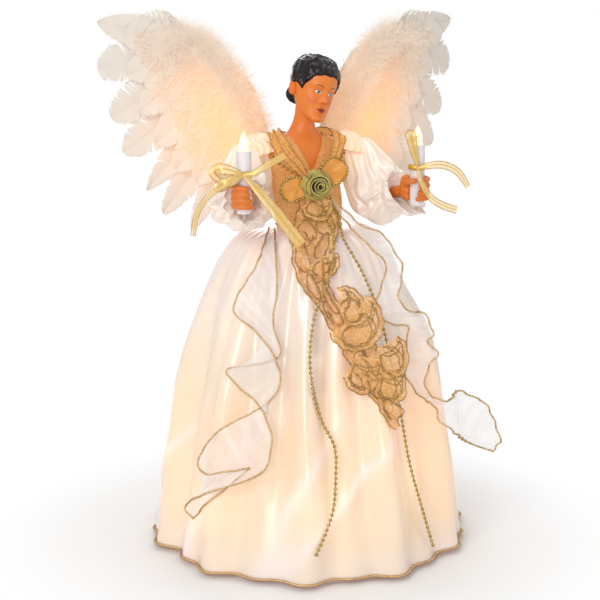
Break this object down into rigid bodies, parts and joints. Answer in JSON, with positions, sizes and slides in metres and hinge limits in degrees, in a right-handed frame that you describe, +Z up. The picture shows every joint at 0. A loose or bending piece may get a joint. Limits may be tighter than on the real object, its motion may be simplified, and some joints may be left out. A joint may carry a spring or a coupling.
{
  "type": "angel tree topper",
  "caption": "Lighted dressed angel for a treetop: satin gown on a cone, posable arms holding candle lamps, and feather wings that fold.",
  "frame": {"origin": "on the cone's axis in the plane of its bottom rim, where the figure stands", "axes": "+Z up along the cone's axis, -Y is the figure's front, +X is the figure's left"},
  "size_m": [0.2236, 0.1877, 0.313],
  "materials": {
    "satin": "satin",
    "gold_cord": "metallic",
    "gold_bead": "metallic",
    "lace": "metallic thread",
    "organza": "sheer",
    "tie_ribbon": "sheer metallic",
    "skin": "painted",
    "hair": "painted",
    "frame": "translucent",
    "wire": "insulated",
    "steel": "bare",
    "lamp": "lit",
    "candle": "smooth",
    "feather": "soft"
  },
  "bodies": {
    "figure": {"skirt_cone": "frame", "torso_block": "frame", "head_bust": "skin", "hair": "hair", "satin_skirt": "satin", "hem_cord": "gold_cord", "lace_bodice": "lace", "lace_collar": "lace", "lace_cascade": "lace", "ribbon_rose": "tie_ribbon", "bead_bow": "lace", "bead_strand_long": "gold_bead", "bead_strand_short": "gold_bead", "spiral_ribbon": "organza", "cascade_ribbon": "organza", "lamp_1": "lamp", "lamp_2": "lamp", "lamp_3": "lamp", "lamp_4": "lamp", "lamp_5": "lamp", "lamp_6": "lamp", "lamp_7": "lamp", "lamp_8": "lamp", "lamp_string": "wire", "shoulder_wire": "steel", "wing_bracket": "frame"},
    "arm_left": {"arm_wire_left": "steel", "candle_lead_left": "wire", "sleeve_left": "satin", "cuff_left": "satin", "hand_left": "skin", "candle_left": "candle", "candle_bow_left": "tie_ribbon"},
    "arm_right": {"arm_wire_right": "steel", "candle_lead_right": "wire", "sleeve_right": "satin", "cuff_right": "satin", "hand_right": "skin", "candle_right": "candle", "candle_bow_right": "tie_ribbon"},
    "flame_left": {"flame_lamp_left": "lamp"},
    "flame_right": {"flame_lamp_right": "lamp"},
    "wing_left": {"wing_backing_left": "frame", "wing_fluff_left": "feather", "feather_1_left": "feather", "feather_2_left": "feather", "feather_3_left": "feather", "feather_4_left": "feather", "feather_5_left": "feather", "feather_6_left": "feather", "feather_7_left": "feather"},
    "wing_right": {"wing_backing_right": "frame", "wing_fluff_right": "feather", "feather_1_right": "feather", "feather_2_right": "feather", "feather_3_right": "feather", "feather_4_right": "feather", "feather_5_right": "feather", "feather_6_right": "feather", "feather_7_right": "feather"}
  },
  "joints": [
    {"name": "left_shoulder", "type": "hinge", "parent": "figure", "child": "arm_left", "pos_m": [0.028, 0, 0.2308], "axis": [-0.9006, -0.4348, 0], "range_deg": [-15, 30]},
    {"name": "right_shoulder", "type": "hinge", "parent": "figure", "child": "arm_right", "pos_m": [-0.036, 0, 0.2308], "axis": [-0.9454, 0.326, 0], "range_deg": [-15, 30]},
    {"name": "left_wing_fold", "type": "hinge", "parent": "figure", "child": "wing_left", "pos_m": [0.01, 0.028, 0.2228], "axis": [0, 0, 1], "range_deg": [-15, 18]},
    {"name": "right_wing_fold", "type": "hinge", "parent": "figure", "child": "wing_right", "pos_m": [-0.01, 0.028, 0.2228], "axis": [0, 0, -1], "range_deg": [-15, 18]},
    {"name": "left_flame_pull", "type": "slide", "parent": "arm_left", "child": "flame_left", "axis": [0, 0, 1], "range_m": [0, 0.014]},
    {"name": "right_flame_pull", "type": "slide", "parent": "arm_right", "child": "flame_right", "axis": [0, 0, 1], "range_m": [0, 0.014]}
  ]
}
